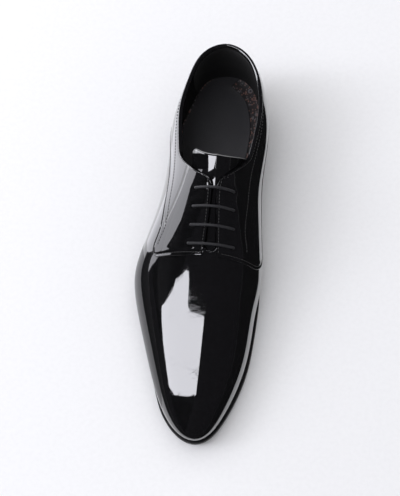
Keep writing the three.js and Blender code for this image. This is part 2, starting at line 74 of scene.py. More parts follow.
FAN_HEEL, FAN_TOE = 0.13, 0.875
UNDER = 0.15
# Leather of the quarters and the vamp, and the lap between them
LEATHER, LAP = 1.1, 12.0
# Front edge of the quarters, and by side how far its lower corner is drawn back and how high that reaches
FRONT_SEAM, FACING_CORNER = 171.0, 2.5
FRONT_CORNER = {-1.0: (5.0, 5.0), 1.0: (18.5, 30.0)}
FRONT_HEIGHT = {-1.0: 52.0, 1.0: 82.0}
# Rows of stitches: distance from the lower and front edge, and from the top edge
SEAM_ROW, FACING_ROW = 2.6, 3.3
# Where the opening ends as a share of the length, and where its rolled rim fades out
OPENING_END = 0.401
RIM_FADE_FROM, RIM_FADE = 117.0, 10.0
SLIT_FROM, CORNER_SHARPNESS = 90.0, 90.0
# Share of a section's height over which it belongs to the top line
TOP_LINE_FROM, ON_TOP_LINE = 0.985, 0.9999
# Trim of the visible sole edge at the waist's outer side, hidden under the upper
HIDDEN_TRIM = 1.6
# From the last's own axis (x across, s from the heel's back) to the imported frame
AXIS_X, AXIS_Y = 9.373, 151.095

# along, lateral, medial, rise, tuck lateral, tuck medial, ridge, side, crown, shoulder
SECTIONS = np.array([
    (0.000, 0.000, 0.000, 0.200, 0.035, 0.035, 1.143, 0.000, 2.80, 2.80),
    (0.040, 0.240, 0.238, 0.200, 0.035, 0.035, 1.145, 0.000, 2.00, 2.45),
    (0.100, 0.317, 0.322, 0.200, 0.035, 0.040, 1.140, 0.000, 1.75, 2.20),
    (0.170, 0.380, 0.360, 0.200, 0.030, 0.045, 1.105, 0.005, 1.50, 1.90),
    (0.250, 0.400, 0.356, 0.200, 0.036, 0.075, 1.035, 0.012, 1.40, 1.70),
    (0.330, 0.417, 0.345, 0.195, 0.050, 0.112, 1.000, 0.017, 1.60, 1.65),
    (0.420, 0.466, 0.362, 0.180, 0.066, 0.125, 0.935, 0.019, 1.75, 1.75),
    (0.500, 0.540, 0.388, 0.150, 0.058, 0.095, 0.803, 0.019, 1.85, 1.85),
    (0.580, 0.592, 0.405, 0.125, 0.036, 0.052, 0.678, 0.017, 1.95, 1.95),
    (0.650, 0.562, 0.384, 0.110, 0.030, 0.030, 0.597, 0.014, 2.00, 2.00),
    (0.720, 0.499, 0.368, 0.100, 0.030, 0.030, 0.529, 0.010, 2.10, 2.00),
    (0.790, 0.430, 0.343, 0.090, 0.030, 0.030, 0.475, 0.006, 2.10, 2.00),
    (0.860, 0.355, 0.290, 0.085, 0.030, 0.030, 0.434, 0.003, 2.10, 2.00),
    (0.930, 0.259, 0.208, 0.080, 0.030, 0.030, 0.395, 0.000, 2.10, 2.00),
    (0.975, 0.157, 0.130, 0.080, 0.030, 0.030, 0.368, 0.000, 2.10, 2.00),
    (1.000, 0.000, 0.000, 0.080, 0.030, 0.030, 0.350, 0.000, 2.10, 2.00)])
SOLE_EDGE = np.array([(0.00, 0.020), (0.33, 0.020), (0.42, 0.025), (0.50, 0.034), (0.60, 0.040),
                      (0.90, 0.046), (1.00, 0.040)])
# Top edge of the opening and lower edge of the quarter, seen from the side: along, height
TOP_EDGE = np.array([(-0.10, 0.890), (0.00, 0.880), (0.05, 0.860), (0.10, 0.825), (0.16, 0.787),
                     (0.22, 0.762), (0.28, 0.750), (0.31, 0.770), (0.335, 0.825), (0.365, 0.905),
                     (0.385, 0.960), (0.401, 1.050)])
QUARTER_LATERAL = np.array([(0.570, 0.545), (0.540, 0.545), (0.500, 0.600), (0.440, 0.640),
                            (0.380, 0.640), (0.320, 0.610), (0.260, 0.565), (0.200, 0.510),
                            (0.140, 0.455), (0.080, 0.410), (0.000, 0.390), (-0.02, 0.390)])
QUARTER_MEDIAL = np.array([(0.570, 0.275), (0.534, 0.262), (0.505, 0.262), (0.440, 0.300),
                           (0.360, 0.370), (0.280, 0.425), (0.200, 0.445), (0.140, 0.425),
                           (0.080, 0.400), (0.000, 0.390), (-0.02, 0.390)])
# Second row of stitches over the quarter's lower edge, meeting it at the front corner
SECOND_ROW = np.array([(0.570, 0.565), (0.540, 0.575), (0.500, 0.640), (0.430, 0.700), (0.368, 0.712),
                       (0.295, 0.690), (0.220, 0.705), (0.170, 0.745), (0.140, 0.790), (0.120, 0.830)])


def natural_curve(xs, ys):
    """Natural cubic spline: the second derivatives solve the usual three-term system, ends free."""
    xs, ys = np.asarray(xs, float), np.asarray(ys, float)
    order = np.argsort(xs)
    xs, ys = xs[order], ys[order]
    h = np.diff(xs)
    n = len(xs)
    system = np.eye(n)
    right = np.zeros(n)
    inner = np.arange(1, n - 1)
    system[inner, inner - 1] = h[:-1]
    system[inner, inner] = 2 * (h[:-1] + h[1:])
    system[inner, inner + 1] = h[1:]
    right[1:-1] = 6 * (np.diff(ys)[1:] / h[1:] - np.diff(ys)[:-1] / h[:-1])
    bend = np.linalg.solve(system, right)

    def at(x):
        x = np.asarray(x, float)
        i = np.clip(np.searchsorted(xs, x, side="right") - 1, 0, n - 2)
        far = (xs[i + 1] - x) / h[i]
        near = (x - xs[i]) / h[i]
        cubic = ((far**3 - far) * bend[i] + (near**3 - near) * bend[i + 1]) * h[i]**2 / 6
        return far * ys[i] + near * ys[i + 1] + cubic
    return at


def ring_of(along):
    """Ring of a share of the length: the angle whose cosine falls from 1 to -1 along the shoe."""
    return np.arccos(1 - 2 * np.clip(along, 0, 1)) / np.pi


def along_of(ring):
    return (1 - np.cos(np.pi * ring)) / 2


RINGS = ring_of(SECTIONS[:, 0])
lateral_at, medial_at, rise_at, tuck_l_at, tuck_m_at, crown_at, shoulder_at = (
    natural_curve(RINGS, SECTIONS[:, k]) for k in (1, 2, 3, 4, 5, 8, 9))
ridge_at, side_at = (natural_curve(SECTIONS[:, 0], SECTIONS[:, k]) for k in (6, 7))
sole_edge_at, top_edge_at, quarter_l_at, quarter_m_at, second_row_at = (
    natural_curve(*table.T) for table in (SOLE_EDGE, TOP_EDGE, QUARTER_LATERAL, QUARTER_MEDIAL, SECOND_ROW))


def together(*values):
    """Numbers and grids as grids of one shape."""
    return np.broadcast_arrays(*(np.asarray(value, float) for value in values))


def bottom_height(s):
    """Underside of the sole: seat that falls ever faster, arch as a power curve, flat tread, toe spring."""
    s = np.asarray(s, float)
    drop = HEEL_HEIGHT - BREAST_HEIGHT
    slope = ARCH_POWER * BREAST_HEIGHT / (FLAT_START - HEEL_LENGTH)
    seat = HEEL_HEIGHT - drop * np.maximum(s / HEEL_LENGTH, 0)**(slope * HEEL_LENGTH / drop)
    arch = BREAST_HEIGHT * np.maximum(1 - (s - HEEL_LENGTH) / (FLAT_START - HEEL_LENGTH), 0)**ARCH_POWER
    toe = TOE_SPRING * ((s - FLAT_END) / (LAST_LENGTH - FLAT_END))**2
    return np.where(s < HEEL_LENGTH, seat, np.where(s < FLAT_START, arch, np.where(s < FLAT_END, 0, toe)))


def feather_height(s):
    return bottom_height(s) + OUTSOLE_THICKNESS


def top_line_side(s):
    return side_at(np.clip(s / LAST_LENGTH, 0, 1)) * BALL_WIDTH


def top_line_height(s):
    return ridge_at(np.clip(s / LAST_LENGTH, 0, 1)) * INSTEP_HEIGHT


def fullest(side, ring):
    return side * BALL_WIDTH * np.where(side < 0, lateral_at(ring), medial_at(ring))


def inwards(side, ring):
    """Level direction straight inwards from the fullest line: its tangent turned a quarter."""
    after, before = np.minimum(ring + 1e-4, 1), np.maximum(ring - 1e-4, 0)
    ds = (along_of(after) - along_of(before)) * LAST_LENGTH
    dx = fullest(side, after) - fullest(side, before)
    run = np.hypot(ds, dx)
    return -side * ds / run, side * dx / run


def skin(side, ring, up):
    """Skin of the last as x, s, z: under the fullest line a parabola, over it a curve of two powers."""
    side, ring, up = together(side, ring, up)
    along = along_of(ring)
    outer = along * LAST_LENGTH
    centre = (FAN_HEEL + (FAN_TOE - FAN_HEEL) * along) * LAST_LENGTH
    foot = feather_height(outer)
    rise = rise_at(ring) * BALL_WIDTH
    low = np.clip(up / UNDER, 0, 1)
    angle = np.clip((up - UNDER) / (1 - UNDER), 0, 1) * np.pi / 2
    reach = np.maximum(np.cos(angle), 0)**(2 / crown_at(ring))
    lift = np.sin(angle)**(2 / shoulder_at(ring))
    tuck = np.where(side < 0, tuck_l_at(ring), tuck_m_at(ring)) * BALL_WIDTH * (1 - low)**2
    aim_x, aim_s = inwards(side, ring)
    s = outer + (1 - reach) * (centre - outer)
    x = fullest(side, ring) * reach + top_line_side(s) * (1 - reach) + aim_x * tuck
    z = foot + rise * low + lift * (top_line_height(s) - foot - rise)
    return np.stack([x, s + aim_s * tuck, z], -1)


def outwards(side, ring, up):
    """Unit normal of the skin: the cross product of its two slopes, straight back or ahead at the ends."""
    side, ring, up = together(side, ring, up)
    e = 2e-3
    a = skin(side, np.minimum(ring + e, 1), up) - skin(side, np.maximum(ring - e, 0), up)
    b = skin(side, ring, np.minimum(up + e, 1)) - skin(side, ring, np.maximum(up - e, 0))
    n = np.cross(a, b) * side[..., None]
    at_end = (ring <= 0) | (ring >= 1)
    n[..., 0] = np.where(at_end, 0, n[..., 0])
    s = skin(side, ring, 1)[..., 1]
    slope = top_line_height(s + 1) - top_line_height(s)
    on_top = np.stack([np.zeros_like(s), -slope, np.ones_like(s)], -1)
    blend = np.clip((up - TOP_LINE_FROM) / (1 - TOP_LINE_FROM), 0, 1)[..., None]
    n = n / (np.linalg.norm(n, axis=-1, keepdims=True) + 1e-12)
    n = n * (1 - blend) + on_top * blend
    return n / np.linalg.norm(n, axis=-1, keepdims=True)


def layer(side, ring, up, depth):
    return skin(side, ring, up) - outwards(side, ring, up) * np.asarray(depth, float)[..., None]


def gap_half(s):
    share = np.clip((s - THROAT_TOP) / (THROAT_END - THROAT_TOP), 0, 1)
    return (GAP_TOP + (GAP_END - GAP_TOP) * share) / 2


def slit_half(s):
    """Half the slit between the facings, whose upper corners are rounded by a falling exponential."""
    return gap_half(s) + FACING_ROUND * np.exp(-np.maximum(s - FACING_ROUND_FROM, 0) / FACING_ROUND_FADE)


def up_where(side, ring, miss, steps=40):
    """Height along a section where a rising measure crosses zero, found by halving."""
    low, high = np.zeros_like(ring), np.ones_like(ring)
    for _ in range(steps):
        mid = (low + high) / 2
        over = miss(skin(side, ring, mid)) > 0
        high = np.where(over, mid, high)
        low = np.where(over, low, mid)
    return (low + high) / 2


def over_opening(p):
    """How far a point stands over the edge of the opening, seen from the side."""
    along = p[..., 1] / LAST_LENGTH
    edge = np.where(along < OPENING_END, top_edge_at(np.clip(along, -0.1, OPENING_END)), 3.0)
    return p[..., 2] - edge * INSTEP_HEIGHT


def top_where(side, ring, half_gap):
    """Height at which a section ends: at the opening or at a gap, with the corner between them rounded."""
    def over_gap(p):
        half = half_gap(p[..., 1])
        inside = (half > 0) & (p[..., 1] > SLIT_FROM)
        return np.where(inside, half - side * (p[..., 0] - top_line_side(p[..., 1])), -1.0)
    opening, gap = up_where(side, ring, over_opening), up_where(side, ring, over_gap)
    first = np.minimum(opening, gap)
    rounding = np.log1p(np.exp(-CORNER_SHARPNESS * np.abs(opening - gap))) / CORNER_SHARPNESS
    return np.where(first > TOP_LINE_FROM, first, first - rounding)


def quarter_low(side, ring):
    """Lower edge of the quarter as a height along the section."""
    def over_edge(p):
        along = np.clip(p[..., 1] / LAST_LENGTH, -0.02, 0.57)
        return p[..., 2] - np.where(side < 0, quarter_l_at(along), quarter_m_at(along)) * INSTEP_HEIGHT
    return up_where(side, ring, over_edge)


def to_frame(p):
    """From x, s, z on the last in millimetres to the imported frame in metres."""
    return np.stack([p[..., 0] + AXIS_X, AXIS_Y - p[..., 1], p[..., 2]], -1) / 1000


def on_last(side, s, x, steps=30):
    """Ring and height of the skin's point over a given s and x, by Newton's steps."""
    side, s, x = together(side, s, x)
    ring, up = ring_of(s / LAST_LENGTH), np.full(s.shape, 0.8)
    e = 1e-4
    for _ in range(steps):
        here = skin(side, ring, up)
        a = (skin(side, ring + e, up) - here) / e
        b = (skin(side, ring, up + e) - here) / e
        mx, ms = x - here[..., 0], s - here[..., 1]
        area = a[..., 0] * b[..., 1] - a[..., 1] * b[..., 0]
        ring = np.clip(ring + 0.6 * (mx * b[..., 1] - ms * b[..., 0]) / area, 0.02, 0.98)
        up = np.clip(up + 0.6 * (a[..., 0] * ms - a[..., 1] * mx) / area, 0.2, 0.9995)
    return ring, up


def over_last(s, x, depth):
    """Point over the last at s and x, at a depth; the side is the one on which x lies."""
    side = np.where(x < top_line_side(s), -1.0, 1.0)
    ring, up = on_last(side, s, x)
    return layer(side, ring, up, depth), outwards(side, ring, up)


# Meshes
def quads(rows, cols, wrap_rows=False, wrap_cols=False):
    """Corner numbers of the four-sided faces of a grid, row by row."""
    r, c = np.meshgrid(np.arange(rows if wrap_rows else rows - 1),
                       np.arange(cols if wrap_cols else cols - 1), indexing="ij")
    r2, c2 = (r + 1) % rows, (c + 1) % cols
    return np.stack([r * cols + c, r2 * cols + c, r2 * cols + c2, r * cols + c2], -1).reshape(-1, 4)


def fan(count, start, pole):
    """Corner numbers of the triangles from a closed loop, given by its first point, to a pole."""
    i = np.arange(count)
    return np.stack([i + start, (i + 1) % count + start, np.full(count, pole)], -1)


def make_piece(name, points, faces, material, stands_for, sharp=None):
    """Mesh from points in millimetres on the last: shared points merged, normals turned outwards."""
    mesh = bpy.data.meshes.new(name)
    corners = [face for part in (faces if isinstance(faces, list) else [faces]) for face in part.tolist()]
    mesh.from_pydata(to_frame(points.reshape(-1, 3)).tolist(), [], corners)
    work = bmesh.new()
    work.from_mesh(mesh)
    bmesh.ops.remove_doubles(work, verts=work.verts, dist=2e-6)
    bmesh.ops.dissolve_degenerate(work, edges=work.edges, dist=1e-7)
    bmesh.ops.recalc_face_normals(work, faces=work.faces)
    work.to_mesh(mesh)
    work.free()
    mesh.shade_smooth()
    if sharp:
        mesh.set_sharp_from_angle(angle=np.radians(sharp))
    piece = bpy.data.objects.new(name, mesh)
    bpy.context.collection.objects.link(piece)
    piece.data.materials.append(material)
    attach(piece, "root")
    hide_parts(stands_for)
    return piece


def gathered(count, fine, share):
    """Shares from 0 to 1, crowded at both ends: a few steps that double, then even ones between them."""
    edge = share * (2.0**np.arange(fine) - 1) / (2.0**fine - 1)
    middle = np.linspace(share, 1 - share, count)
    return np.concatenate([edge, middle, 1 - edge[::-1]])


def run_along(points, axis):
    """Distance along a grid's lines from their start, in millimetres."""
    step = np.linalg.norm(np.diff(points, axis=axis), axis=-1)
    zero = np.zeros_like(np.take(step, [0], axis=axis))
    return np.concatenate([zero, np.cumsum(step, axis=axis)], axis=axis)


def to_edges(points):
    """Distance over a grid to its first and last row and to its first and last column."""
    down, across = run_along(points, 0), run_along(points, 1)
    return down, down[-1:] - down, across, across[:, -1:] - across


def points_at(distance, run, points):
    """Points, or directions, at distances along a path."""
    return np.stack([np.interp(distance, run, points[:, k]) for k in range(3)], -1)


def smooth_step(share):
    share = np.clip(share, 0, 1)
    return share**2 * (3 - 2 * share)


def rounded(distance, radius):
    """Quarter circle from 0 at an edge to 1 at a radius from it."""
    share = np.clip(distance / radius, 0, 1)
    return np.sqrt(1 - (1 - share)**2)


def sheet_between(place, outer, inner, edge):
    """Closed sheet from two grids at an outer and an inner depth that meet at rounded edges.

    place gives the point at a depth; edge is each point's distance to the nearest edge.
    """
    middle, half = (outer + inner) / 2, (inner - outer) / 2
    swell = half * rounded(edge, np.maximum(half, 0.05))
    over, under = place(middle - swell), place(middle + swell)
    rows, cols = edge.shape
    grid = quads(rows, cols)
    points = np.concatenate([over.reshape(-1, 3), under.reshape(-1, 3)])
    return points, np.concatenate([grid, grid + rows * cols])


def closed_gap_half(s):
    """Half the throat's width in the wall, which ends in a half circle."""
    r = GAP_END / 2
    end = np.sqrt(np.maximum(r**2 - np.maximum(s - (THROAT_END - r), 0)**2, 0))
    return np.minimum(slit_half(s), end)


def slope_up(side, ring, up):
    """Millimetres that a step of one in height covers along a section."""
    e = 1e-3
    step = skin(side, ring, np.minimum(up + e, 1)) - skin(side, ring, np.maximum(up - e, 0))
    return np.linalg.norm(step, axis=-1) / (np.minimum(up + e, 1) - np.maximum(up - e, 0))


# Upper
THROAT_RING = float(ring_of(((THROAT_END / LAST_LENGTH) - FAN_HEEL) / (FAN_TOE - FAN_HEEL)))


def quarter_grid(side):
    """Ring and height of a quarter's grid: share p from the heel to the front edge, share w upwards.

    The front edge lies where s is the front seam, drawn back on an ellipse at its lower corner and on a
    circle at the facing; its ring is found by halving.
    """
    w = gathered(84, 7, 0.05)
    sample = np.linspace(0, 0.62, 500)
    low_at = quarter_low(side, sample)
    high_at = top_where(side, sample, slit_half)
    tall = w * FRONT_HEIGHT[side]
    back, deep = FRONT_CORNER[side]
    below = np.clip(1 - tall / deep, 0, 1)
    above = np.clip(1 - (tall[-1] - tall) / FACING_CORNER, 0, 1)
    front = FRONT_SEAM - back * (1 - np.sqrt(1 - below**2)) - FACING_CORNER * (1 - np.sqrt(1 - above**2))
    near, far = np.full_like(w, 0.4), np.full_like(w, 0.62)
    for _ in range(40):
        ring = (near + far) / 2
        low, high = np.interp(ring, sample, low_at), np.interp(ring, sample, high_at)
        ahead = skin(side, ring, low + w * (high - low))[..., 1] > front
        far = np.where(ahead, ring, far)
        near = np.where(ahead, near, ring)
    even = gathered(210, 6, 0.015)
    p = even + 0.5 * even * (1 - even)
    ring = (near + far)[:, None] / 2 * p[None, :]
    low, high = np.interp(ring, sample, low_at), np.interp(ring, sample, high_at)
    return ring, low + w[:, None] * (high - low)


def round_opening(s):
    """1 round the opening, falling to 0 at the facings."""
    return 1 - smooth_step((s - RIM_FADE_FROM) / RIM_FADE)


def eyelet_x(side, s):
    return top_line_side(s) + side * (gap_half(s) + EYELET_TO_EDGE)


def eyelet_distance(side, points):
    """Distance of points to the nearest eyelet of one side, seen from above."""
    rows = FIRST_EYELET - EYELET_PITCH * np.arange(4)
    apart = points[..., None, :2] - np.stack([eyelet_x(side, rows), rows], -1)
    return np.linalg.norm(apart, axis=-1).min(-1)


def quarter(side, name, material):
    """Quarter: the skin between its edges, raised over the vamp; it is thicker where no vamp lies under it.

    The outer depth is the overlay's step less a shallow groove along each row of stitches, a bell curve of
    the distance to the edge.
    """
    ring, up = quarter_grid(side)
    flat = skin(side, ring, up)
    from_low, from_top, from_back, from_front = to_edges(flat)
    edge = np.minimum(np.minimum(from_low, from_top), np.minimum(from_back + 0.25, from_front))
    seam = np.minimum(from_low, from_front)
    groove = 0.26 * np.exp(-((seam - SEAM_ROW) / 0.6)**2) + 0.20 * np.exp(-((from_top - FACING_ROW) / 0.6)**2)
    puffed = 0.14 * np.exp(-((seam - 4.6) / 1.2)**2) + 0.42 * np.exp(-(seam / 1.7)**2)
    dimples = 0.4 * np.exp(-(eyelet_distance(side, flat) / 2.1)**2)
    roll = np.exp(-(from_top / 2.9)**4) * round_opening(flat[..., 1])
    outer = -OVERLAY + groove + dimples - puffed - 0.55 * roll
    inner = -0.02 + (LEATHER + 0.02) * np.clip((seam - LAP) / 1.5, 0, 1)
    inner = inner + (WALL + 0.15 - inner) * roll
    points, faces = sheet_between(lambda depth: layer(side, ring, up, depth), outer, inner, edge)
    return make_piece(name, points, faces, material, "upper")


def wall_rings():
    """Rings of the wall's sections, crowded round the end of the throat and at the toe."""
    fine = 0.0006 * 1.6**np.arange(9)
    near_throat = np.concatenate([THROAT_RING - fine[::-1], [THROAT_RING], THROAT_RING + fine])
    even = np.concatenate([np.linspace(0, 1, 170), np.linspace(0.36, 0.44, 24), np.linspace(0.95, 1, 12)])
    clear = even[np.abs(even - THROAT_RING) > 0.03]
    return np.unique(np.concatenate([clear, near_throat]))


def wall_sheet(name, material, outer, inner, top_of, split_of, from_up=0.0, rings=None):
    """Both sides of a wall between two depths, joined along the top line in front of the throat."""
    ring = wall_rings() if rings is None else rings
    lower, upper = np.linspace(0, 1, 16), gathered(26, 5, 0.05)
    parts, faces, count = [], [], 0
    for side in (-1.0, 1.0):
        split, top = split_of(side, ring), top_of(side, ring)
        up = np.concatenate([from_up + (split - from_up) * lower[:-1, None],
                             split + (top - split) * upper[:, None]])
        rings_2d = np.broadcast_to(ring, up.shape)
        flat = skin(side, rings_2d, up)
        from_low, from_top, _, from_front = to_edges(flat)
        to_end = np.hypot(flat[..., 0] - top_line_side(flat[..., 1]), flat[..., 1] - THROAT_END)
        edge = np.where(top < ON_TOP_LINE, from_top, to_end)
        edge = np.minimum(edge, from_low + 0.2)
        if rings is not None:
            edge = np.minimum(edge, from_front)
        points, grid = sheet_between(lambda depth: layer(side, rings_2d, up, depth),
                                     outer + 0 * edge, inner + 0 * edge, edge)
        parts.append(points)
        faces.append(grid + count)
        count += len(points)
    return make_piece(name, np.concatenate(parts), np.concatenate(faces), material, "upper")


def vamp(material):
    """Vamp: the whole wall in front, and a band that runs on under the quarters to the heel."""
    def split_of(side, ring):
        return quarter_low(side, np.minimum(ring, 0.56))

    def top_of(side, ring):
        low = quarter_low(side, ring)
        lapped = low + (LAP - 1) / slope_up(side, ring, low)
        return np.where(ring < THROAT_RING - 0.045, lapped, top_where(side, ring, closed_gap_half))
    return wall_sheet("vamp", material, 0.0, LEATHER, top_of, split_of)


def lining(material):
    """Lining of the whole wall, with its top edge just under the rim."""
    def top_of(side, ring):
        top = top_where(side, ring, closed_gap_half)
        s = skin(side, ring, top)[..., 1]
        under_rim = 0.35 + 1.9 * round_opening(s)
        return np.where(top > ON_TOP_LINE, top, top - under_rim / slope_up(side, ring, top))
    return wall_sheet("upper_lining", material, LEATHER + 0.08, WALL,
                      top_of, lambda side, ring: 0.3 + 0 * ring)


def heel_grip(material):
    """Heel grip: a soft pad over the lining, round the heel only."""
    rings = np.concatenate([np.linspace(0, 0.16, 60), 0.16 + 0.01 * np.linspace(0.1, 1, 8)])

    def top_of(side, ring):
        top = top_where(side, ring, closed_gap_half)
        return top - 3.4 / slope_up(side, ring, top)
    return wall_sheet("heel_grip", material, WALL + 0.03, WALL + 0.75,
                      top_of, lambda side, ring: 0.2 + 0 * ring, from_up=0.02, rings=rings)


# Tongue
def tongue_sheet(name, material, outer, inner, spread):
    """Tongue layer: u runs across and v down from its hollow top edge, whose corners are quarter circles."""
    u, v = np.meshgrid(2 * gathered(40, 5, 0.03) - 1, gathered(50, 5, 0.02), indexing="ij")
    half = TONGUE_WIDTH / 2 + spread
    from_corner = np.clip((np.abs(u) * half - (half - TONGUE_CORNER)) / TONGUE_CORNER, 0, 1)
    rounding = TONGUE_CORNER * (1 - np.sqrt(1 - from_corner**2))
    top = TONGUE_TOP - spread + TONGUE_HOLLOW * (1 - u**2) + rounding
    s = top + v * (TONGUE_ROOT - top)
    wide = half + np.where(u > 0, TONGUE_MEDIAL_EXTRA, 0) * (1 - v)
    x = top_line_side(s) + u * (wide + v * (0.8 * TONGUE_WIDTH / 2 - half))
    rise = 2.2 * smooth_step((s - 126) / 40) * np.exp(-((x - top_line_side(s)) / 8.5)**2)
    side = np.where(x < top_line_side(s), -1.0, 1.0)
    ring, up = on_last(side, s, x)
    edge = np.minimum.reduce(to_edges(skin(side, ring, up)))
    depth_at = TONGUE_DEPTH - rise
    points, faces = sheet_between(lambda depth: layer(side, ring, up, depth),
                                  depth_at + outer, depth_at + inner, edge)
    return make_piece(name, points, faces, material, "tongue")


# Sole
def sole_edge_point(side, ring, inset):
    """Point of the sole's outline, outside the feather line by the table's share less an inset."""
    p = skin(side, ring, 0)
    aim_x, aim_s = inwards(side, ring)
    along = along_of(ring)
    hidden = HIDDEN_TRIM * smooth_step((along - 0.36) / 0.12) * (1 - smooth_step((along - 0.84) / 0.10))
    out = sole_edge_at(along) * BALL_WIDTH - inset - np.where(side < 0, hidden, 0)
    return np.stack([p[..., 0] - aim_x * out, p[..., 1] - aim_s * out, p[..., 2]], -1)


def outline_loop(rings, inset):
    """Closed loop of the sole's outline: forwards on the outer side and back on the inner one."""
    lateral = sole_edge_point(-1.0, rings, inset)
    medial = sole_edge_point(1.0, rings, inset)
    return np.concatenate([lateral, medial[-2:0:-1]])


def outsole(material):
    """Outsole: the outline carried over a profile of its edge with two quarter rounds, closed across."""
    rings = np.linspace(0, 1, 200)
    arc = np.linspace(0, np.pi / 2, 7)
    radius = 1.2
    profile = [(radius * (1 - np.sin(a)), radius * (1 - np.cos(a))) for a in arc]
    profile += [(0.0, 2.4), (0.28, 2.62), (0.28, 2.78), (0.0, 3.0)]
    profile += [(radius * (1 - np.cos(a)), OUTSOLE_THICKNESS - radius * (1 - np.sin(a))) for a in arc]
    rows = []
    for inset, lift in profile:
        loop = outline_loop(rings, inset)
        loop[:, 2] = bottom_height(loop[:, 1]) + lift
        rows.append(loop)
    count = len(rows[0])
    side = quads(len(rows), count, wrap_cols=True)
    i = np.arange(1, len(rings) - 2)
    across = np.stack([i, i + 1, count - i - 1, count - i], -1)
    ends = np.array([(0, 1, count - 1), (len(rings) - 2, len(rings) - 1, len(rings))])
    faces = [side, across, ends, across + (len(rows) - 1) * count, ends + (len(rows) - 1) * count]
    return make_piece("outsole_edge_trimmed", np.concatenate(rows), faces, material, "outsole",
                      sharp=35)


def heel_outline():
    """Outline of the heel seen from above: the sole's outline and a breast that is hollow by a sine."""
    rings = np.linspace(0, ring_of(HEEL_LENGTH / LAST_LENGTH), 60)
    inset = HEEL_INSET + HEEL_TAPER
    lateral, medial = (sole_edge_point(side, rings, inset)[:, :2] for side in (-1.0, 1.0))
    share = np.linspace(0, 1, 30)[1:-1, None]
    breast = lateral[-1] + (medial[-1] - lateral[-1]) * share
    breast[:, 1] -= BREAST_HOLLOW * np.sin(np.pi * share[:, 0])
    return np.concatenate([lateral, breast, medial[:0:-1]])


def heel_block(name, material, node, from_z, to_z, profile):
    """Block of the heel: its outline widens upwards in proportion.

    profile gives pairs of a share of the height and an inset.
    """
    outline = heel_outline()
    middle = np.array([0.0, HEEL_LENGTH / 2])
    half = (outline[:, 0].max() - outline[:, 0].min()) / 2
    out = outline - middle
    ahead = np.roll(out, -1, axis=0) - np.roll(out, 1, axis=0)
    normal = np.stack([-ahead[:, 1], ahead[:, 0]], -1)
    normal /= np.linalg.norm(normal, axis=1, keepdims=True) + 1e-9
    normal *= np.sign(np.sum(normal * out, axis=1)).mean()
    rows = []
    for share, inset in profile:
        top = to_z(outline[:, 1])
        z = from_z + share * (top - from_z)
        widened = out * (1 + HEEL_TAPER / half * z / HEEL_HEIGHT)[:, None] - normal * inset
        rows.append(np.stack([widened[:, 0], widened[:, 1] + middle[1], z], -1))
    count = len(outline)
    points = np.concatenate(rows + [rows[0].mean(0)[None], rows[-1].mean(0)[None]])
    faces = [quads(len(rows), count, wrap_cols=True), fan(count, 0, len(points) - 2),
             fan(count, (len(rows) - 1) * count, len(points) - 1)]
    return make_piece(name, points, faces, material, node, sharp=30)


def insole_sheet(name, material, low, high, margin_lateral, margin_medial, cup_height):
    """Sheet across the shoe inside the lining, from a low to a high level over the insole's underside.

    Margins are the distances left free at both sides; the sheet is cupped a little towards its edge.
    """
    rings = gathered(120, 5, 0.012) * 0.985 + 0.0075
    across = gathered(30, 5, 0.03)
    low_up, depth_in = np.full_like(rings, 0.03), np.full_like(rings, WALL + FIT_GAP)
    lateral, medial = (layer(side, rings, low_up, depth_in) for side in (-1.0, 1.0))
    reach = (medial - lateral) / np.maximum(np.linalg.norm(medial - lateral, axis=-1), 1e-6)[:, None]
    fade = smooth_step(np.minimum(rings - 0.03, 0.97 - rings) / 0.10)[:, None]
    margin_medial = margin_medial * (1 + 0.7 * np.exp(-((rings - 0.12) / 0.04)**2))[:, None]
    lateral = lateral + reach * fade * margin_lateral
    medial = medial - reach * fade * margin_medial
    flat = lateral[None] + across[:, None, None] * (medial - lateral)[None]
    span = np.abs(medial[:, 0] - lateral[:, 0])[None]
    to_side = np.minimum(across, 1 - across)[:, None] * span
    run = run_along(flat, 1)
    edge = np.minimum(to_side, np.minimum(run, run[:, -1:] - run) + 0 * to_side)
    cup = cup_height * np.clip(1 - to_side / 9.0, 0, 1)**2
    middle = feather_height(flat[..., 1]) + FIT_GAP + (low + high) / 2
    half = (high - low) / 2

    def place(depth):
        return np.stack([flat[..., 0], flat[..., 1], middle + cup - depth], -1)
    points, faces = sheet_between(place, -half, half, edge * 1.4)
    return make_piece(name, points, faces, material, "insole")


# Lace and stitches
def tube(points, radius_at, sides):
    """Cord round a path: a circle in the frame carried along it, its radius a function of angle and run.

    The frame is each step's own normal, kept square to the path and as near as can be to the one before.
    """
    aim = np.gradient(points, axis=0)
    aim /= np.linalg.norm(aim, axis=1, keepdims=True)
    first = np.empty_like(points)
    guide = np.array([0.3, 0.2, 1.0])
    for i, ahead in enumerate(aim):
        guide = guide - guide.dot(ahead) * ahead
        guide = guide / np.linalg.norm(guide)
        first[i] = guide
    second = np.cross(aim, first)
    run = run_along(points, 0)[:, None]
    angle = 2 * np.pi * np.arange(sides)[None, :] / sides
    radius = radius_at(angle, run)[..., None]
    turn = np.cos(angle)[..., None] * first[:, None] + np.sin(angle)[..., None] * second[:, None]
    ring = points[:, None] + radius * turn
    faces = quads(len(points), sides, wrap_cols=True)
    count = len(points) * sides
    ends = np.concatenate([points[:1], points[-1:]])
    fans = [fan(sides, 0, count), fan(sides, count - sides, count + 1)]
    return np.concatenate([ring.reshape(-1, 3), ends]), [faces] + fans


def smooth_path(points, step, passes):
    """Path through points, evened to a step and rounded by averaging each point with its neighbours."""
    for _ in range(2):
        run = run_along(points, 0)
        points = points_at(np.linspace(0, run[-1], int(run[-1] / step) + 1), run, points)
        for _ in range(passes):
            points[1:-1] = points[1:-1] / 2 + (points[:-2] + points[2:]) / 4
    return points


